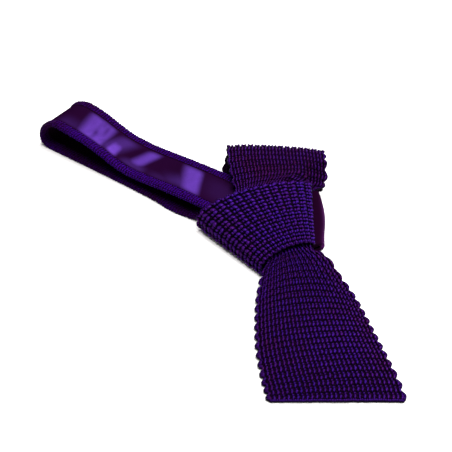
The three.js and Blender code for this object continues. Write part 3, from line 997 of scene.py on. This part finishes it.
# out, high, aside, raised: how far out from the knot as a share of loop_reach, height as a
# share of loop_height, shift to the side as a share of band_width, and how much higher the
# near edge lies as a share of loop_height
loop_rows = np.array(
    [
        (out * loop_reach, high * loop_height, aside * band_width, raised * loop_height)
        for out, high, aside, raised in [
            (0.0, 0.449, 0, 0.0),
            (0.064, 0.4861, 0, 0.0),
            (0.127, 0.5356, 0, 0.0),
            (0.191, 0.5784, 0, 0.0),
            (0.276, 0.5784, 0, 0.0),
            (0.341, 0.5594, 0, 0.0),
            (0.428, 0.5232, 0, 0.0),
            (0.504, 0.4709, 0, 0.0),
            (0.593, 0.4253, 0, 0.029),
            (0.654, 0.4329, 0, 0.124),
            (0.704, 0.4602, 0, 0.225),
            (0.761, 0.5774, 0, 0.222),
            (0.824, 0.7401, 0, 0.137),
            (0.877, 0.8302, 0, 0.085),
            (0.919, 0.8606, 0, 0.085),
            (0.95, 0.8048, 0, 0.08),
            (0.979, 0.6878, 0, 0.04),
            (0.995, 0.5132, 0, 0.01),
            (1.0, 0.3139, 0, 0.0),
            (0.993, 0.157, 0, 0.0),
            (0.973, 0.0761, 0, 0.0),
            (0.935, 0.0558, 0, 0.0),
            (0.807, 0.0558, 0, 0.0),
            (0.63, 0.0558, 0, 0.0),
            (0.467, 0.0558, -0.021, 0.0),
            (0.361, 0.0558, -0.071, 0.0),
            (0.283, 0.0875, -0.043, 0.0),
            (0.22, 0.195, -0.011, 0.0),
            (0.142, 0.195, 0, 0.0),
            (0.0, 0.195, 0, 0.0),
        ]
    ]
)
loop_share, loop_length = run_along(loop_rows, [0, 1])


def loop_place(s, across, off):
    """A point of the band's section, s mm from its upper end, off mm outside its middle."""
    t = loop_share(s)
    out, high, aside, raised = through(loop_rows, t).T
    ahead = through(loop_rows, np.clip(t + 2e-4, 0, 1)) - through(loop_rows, np.clip(t - 2e-4, 0, 1))
    run = np.hypot(ahead[:, 0], ahead[:, 1])
    out = out - ahead[:, 1] / run * off
    high = high + ahead[:, 0] / run * off + raised * (1 - across / half_band) / 2
    side = across + aside
    c, n = math.cos(band_heading), math.sin(band_heading)
    return np.stack([band_end[0] + out * c + side * n, band_end[1] + out * n - side * c, high], 1)


# as in the silk knit, the deep colour is painted shade and the bright one a painted highlight on the crests
border_knit = yarn_material(
    "border_knit",
    deep=(0.004, 0.0002, 0.01, 1),
    bright=(0.06, 0.003, 0.34, 1),
    warm=(0.045, 0.002, 0.05, 1),
    turns=1.5,
    depth=0.00003,
    roughness=0.5,
    shine=0.15,
)
band_backing = backing_material(
    "band_backing",
    deep=(0.003, 0.0002, 0.004, 1),
    bright=(0.018, 0.001, 0.022, 1),
    warm=(0.028, 0.001, 0.022, 1),
    depth=0.00025,
    roughness=0.8,
)

half_floor = half_band - border_width
recess = band_wall / 2 - 0.6 - layer_gap
# the band's section, from the inner face round the near edge to the recess and on to the far edge
turn_over = np.radians(np.linspace(-90, 90, 7))
round_edge = [(half_band - 1.1 + 1.15 * math.cos(a), 1.1 * math.sin(a)) for a in turn_over]
section = (
    [(-half_floor, -0.9), (0.0, -0.9), (half_floor, -0.9)]
    + round_edge
    + [(half_floor + 0.6, 1.0), (half_floor + 0.1, 0.5), (half_floor - 0.2, recess)]
    + [(0.0, recess)]
    + [(-half_floor + 0.2, recess), (-half_floor - 0.1, 0.5), (-half_floor - 0.6, 1.0)]
    + [(-x, y) for x, y in reversed(round_edge)]
)
band_rings = 300
band_rib_pitch, band_course_pitch = 1.5, 2.4
loop_marks = np.linspace(0, loop_length, band_rings)
band_points = np.stack(
    [loop_place(loop_marks, np.full(band_rings, across), np.full(band_rings, off)) for across, off in section],
    axis=1,
)
index = np.arange(band_rings * len(section)).reshape(band_rings, len(section))
beside = np.roll(index, -1, axis=1)
band_faces = np.stack([index[:-1], index[1:], beside[1:], beside[:-1]], -1).reshape(-1, 4).tolist()
band_faces += [index[0].tolist(), index[-1, ::-1].tolist()]
band_cloth = mesh_piece("band_cloth", band_points.reshape(-1, 3), band_faces, band_backing)
band_across = np.array([across for across, off in section])
band_grid = np.broadcast_arrays(band_across[None, :] / band_rib_pitch, loop_marks[:, None] / band_course_pitch)
lay_out(band_cloth.data, np.stack(band_grid, -1).reshape(-1, 2))
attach(band_cloth, "root")
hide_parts("neck_band")

border_path = np.array(
    [(half_floor - 0.6, -0.75), (half_floor + 1.0, -0.8)]
    + round_edge
    + [(half_floor + 0.9, 1.0), (half_floor + 0.3, 0.6)]
)
border_run = np.concatenate([[0], np.cumsum(np.linalg.norm(np.diff(border_path, axis=0), axis=1))])


def border_at(side):
    """The far border's rounded face, or the near one's where side is -1: v runs from the
    inner face over the edge."""

    def place(s, v):
        q = (v + 1) / 2 * border_run[-1]
        across = np.interp(q, border_run, border_path[:, 0]) * side
        return loop_place(s, across, np.interp(q, border_run, border_path[:, 1]))

    return place


# each fine stitch is a pair of legs that lean together
border_columns = 13
fine_pitch, fine_rib_pitch = 1.55, 0.95
left_leg, right_leg = [
    strand([(-0.85, foot, -0.1, 0.2, 0.16), (-0.1, -0.02, 0.16, 0.44, 0.34), (0.75, head, -0.1, 0.2, 0.16)], 5)
    for foot, head in ((-0.22, 0.24), (0.24, -0.22))
]
ends_hidden = 22.0  # mm of each end that the knot covers
for side, label in ((1, "far"), (-1, "near")):
    cells = knit_cells(0.5, loop_length - 0.5, fine_pitch, border_columns, lambda s: 0 * s, 20 + side)
    column = rib_number(cells[:, cell_across], border_columns)
    places = cells[:, cell_along]
    # the colour turns redder round the far bend and along the table, and on the far border
    redder = 1.1 * np.clip((places - 118) / 20, 0, 1)
    cells[:, cell_tone] = 0.6 * cells[:, cell_tone] + redder + (0.35 if side > 0 else 0)
    hidden = (places < ends_hidden) | (places > loop_length - ends_hidden)
    for parity, leg_side, leg in ((0, "left", left_leg), (1, "right", right_leg)):
        chosen = cells[(column % 2 == parity) & ~hidden]
        piece = knit_piece(
            f"border_{label}_{leg_side}_legs",
            border_at(side),
            [(leg, leg)],
            chosen,
            border_columns,
            (fine_pitch, fine_rib_pitch),
            border_knit,
            face=-side,
            seed=30 + parity + side,
        )
        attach(piece, "root")

# Satin ribbon: smooth woven satin stitched between the borders. It is a little too wide for
# its place, so it lies in soft slanting puckers.
seam_gap = 0.15
half_ribbon = half_floor - seam_gap
# the second colour is the painted highlight's colour
violet_satin = satin_material("violet_satin", (0.0092, 0.001, 0.0128, 1), (0.105, 0.036, 0.34, 1), 0.36, 0.3)

# distance from the ribbon's upper end and height of its middle there, mm, with the lean of
# each pucker across the ribbon
puckers = np.array(
    [
        (0.0, 0.0, 6.0),
        (20.0, 0.0, 6.0),
        (34.0, 0.1, 6.0),
        (43.0, 0.15, 6.0),
        (56.0, 1.0, 6.0),
        (63.0, 0.1, 4.0),
        (70.0, 0.0, 1.0),
        (76.0, 0.1, -1.0),
        (85.0, 0.9, -2.0),
        (90.0, 0.0, -2.0),
        (95.0, 0.1, -2.0),
        (102.0, 0.75, -1.0),
        (105.0, 0.1, 0.0),
        (112.0, 0.5, 3.0),
        (115.0, 0.1, 3.0),
        (122.0, 0.7, 2.0),
        (130.0, 0.1, 0.0),
        (160.0, 0.0, 0.0),
        (320.0, 0.0, 0.0),
    ]
)
pucker_marks = np.linspace(0, 1, 1600)
pucker_curve = through(puckers, pucker_marks)
# where the satin's painted highlight lies, as lighter colour and more metal shine: its ends along
# the ribbon with their softness, mm; its ends across the ribbon with their softness; its lean; and its
# strength
painted_sheens = [
    (44.6, 2.4, 54.5, 4.0, -0.97, 0.25, 0.82, 0.3, 5.0, 0.84),
    (50.0, 3.0, 62.0, 9.0, -0.9, 0.3, -0.3, 0.5, 3.0, 0.26),
    (78.0, 2.2, 84.0, 3.2, -0.66, 0.26, 0.8, 0.26, -2.4, 0.8),
    (76.0, 4.0, 90.0, 4.0, -1.0, 0.2, -0.6, 0.3, 0.0, 0.22),
    (95.6, 1.6, 101.6, 1.8, -0.92, 0.15, 0.0, 0.4, 1.0, 0.7),
    (94.0, 4.0, 103.0, 4.0, -0.9, 0.3, 0.8, 0.3, -3.0, 0.28),
    (105.4, 2.4, 121.5, 3.6, -0.97, 0.14, 0.86, 0.2, 2.0, 0.64),
    (120.0, 4.0, 133.0, 5.0, -0.95, 0.2, -0.5, 0.6, 0.0, 0.13),
    (24.0, 5.0, 40.0, 8.0, -0.7, 0.5, 0.7, 0.5, 4.0, 0.05),
    (60.0, 6.0, 74.0, 6.0, -1.0, 0.2, -0.6, 0.3, 3.0, 0.1),
]
# painted shade of fine creases in the painted highlight: distance along and place across,
# length in mm and width, and how much of the painted highlight each takes away
painted_crease_shade = [
    (113.5, -0.35, 1.3, 0.25, 0.5),
    (108.8, 0.3, 1.3, 0.5, 0.45),
    (111.5, 0.6, 1.0, 0.25, 0.3),
    (117.6, 0.25, 1.6, 0.4, 0.14),
    (50.0, 0.1, 1.6, 0.6, 0.12),
    (81.5, -0.2, 1.4, 0.3, 0.12),
]


def soft_step(x, width):
    """0 to 1 in a smooth step of the given width about x = 0."""
    u = np.clip(x / width * 0.5 + 0.5, 0, 1)
    return u * u * (3 - 2 * u)


def ribbon_painted_sheen(s, v):
    """How much painted highlight the satin gets at each place, from 0 to 1, with painted shade in its creases.
    """
    shine = 0 * s
    for s0, soft0, s1, soft1, v0, vsoft0, v1, vsoft1, lean, strength in painted_sheens:
        place = s - lean * v
        along = soft_step(place - s0, soft0) * soft_step(s1 - place, soft1)
        across = soft_step(v - v0, vsoft0) * soft_step(v1 - v, vsoft1)
        shine = np.maximum(shine, along * across * strength)
    shine = shine * (1 - 0.9 * soft_step(np.abs(v) - 0.96, 0.08))
    for where, at, long, wide, depth in painted_crease_shade:
        shine = shine * (1 - depth * np.exp(-(((s - where - 3 * v) / long) ** 2) - ((v - at) / wide) ** 2))
    return shine


def ribbon_relief(s, v):
    """The ribbon's soft puckers, in mm: they slant across it and die out at its seams."""
    lean = np.interp(s, puckers[:, 0], puckers[:, 2])
    rise = np.interp(s - lean * v, pucker_curve[:, 0], pucker_curve[:, 1])
    fine = 0.05 * np.sin(s * 1.1 + 2.2 * np.sin(3.0 * v + 0.13 * s)) * np.clip((140 - s) / 20, 0, 1)
    return (rise + fine) * (1 - np.abs(v) ** 5)


def ribbon_at(s, v):
    """A point in the ribbon: it lies in the band's recess and dips at both seams."""
    off = 0.62 + ribbon_relief(s, v) - 0.25 * np.abs(v) ** 8
    return loop_place(s, v * half_ribbon, off)


ribbon_marks = np.linspace(1.0, loop_length - 1.0, 420), np.linspace(-1, 1, 25)
ribbon_piece = cloth_piece(
    "ribbon_satin",
    ribbon_at,
    *ribbon_marks,
    0.15,
    -0.2,
    (1.0, 2 * half_ribbon),
    violet_satin,
    face=-1,
)
# the satin's lighter patches are a painted highlight, marked on the ribbon for its material
mark(ribbon_piece.data, "painted_sheen", np.tile(ribbon_painted_sheen(*grid_of(*ribbon_marks)), 2))
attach(ribbon_piece, "root")
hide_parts("satin_ribbon")

# Tail: the narrow end, drawn through the knot and left flat on the table under the blade.
tail_width = 30.0
tail_reach = 90.0
# side, reach, half, turn, high: shares of tail_width, tail_reach and tail_width, degrees,
# and a share of knot_height
tail_rows = np.array(
    [
        (side * tail_width, -reach * tail_reach, half * tail_width, turn, high * knot_height)
        for side, reach, half, turn, high in [
            (0.1, 0.056, 0.28, 22, 0.178),
            (0.233, 0.178, 0.28, 23, 0.178),
            (0.32, 0.261, 0.33, 22, 0.178),
            (0.4, 0.361, 0.44, 12, 0.0905),
            (0.453, 0.444, 0.487, 8, 0.0545),
            (0.55, 0.667, 0.5, 6, 0.0545),
            (0.653, 0.889, 0.5, 8, 0.0545),
            (0.707, 1.0, 0.5, 8, 0.0545),
        ]
    ]
)
tail_share, tail_length = run_along(tail_rows, [0, 1, 4])


def tail_at(s, v):
    """A point in the middle of the tail's cloth, s mm from its end in the knot."""
    x, y, half, turn, high = through(tail_rows, tail_share(s)).T
    turn = np.radians(turn)
    return np.stack([x + v * half * np.cos(turn), y + v * half * np.sin(turn), high], 1)


tail_piece = cloth_piece(
    "tail_cloth",
    tail_at,
    np.linspace(0.2, tail_length - 0.2, 90),
    np.linspace(-1, 1, 17),
    1.05,
    -1.05,
    (2.4, 18.0),
    band_backing,
    face=-1,
)
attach(tail_piece, "root")
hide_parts("tail")
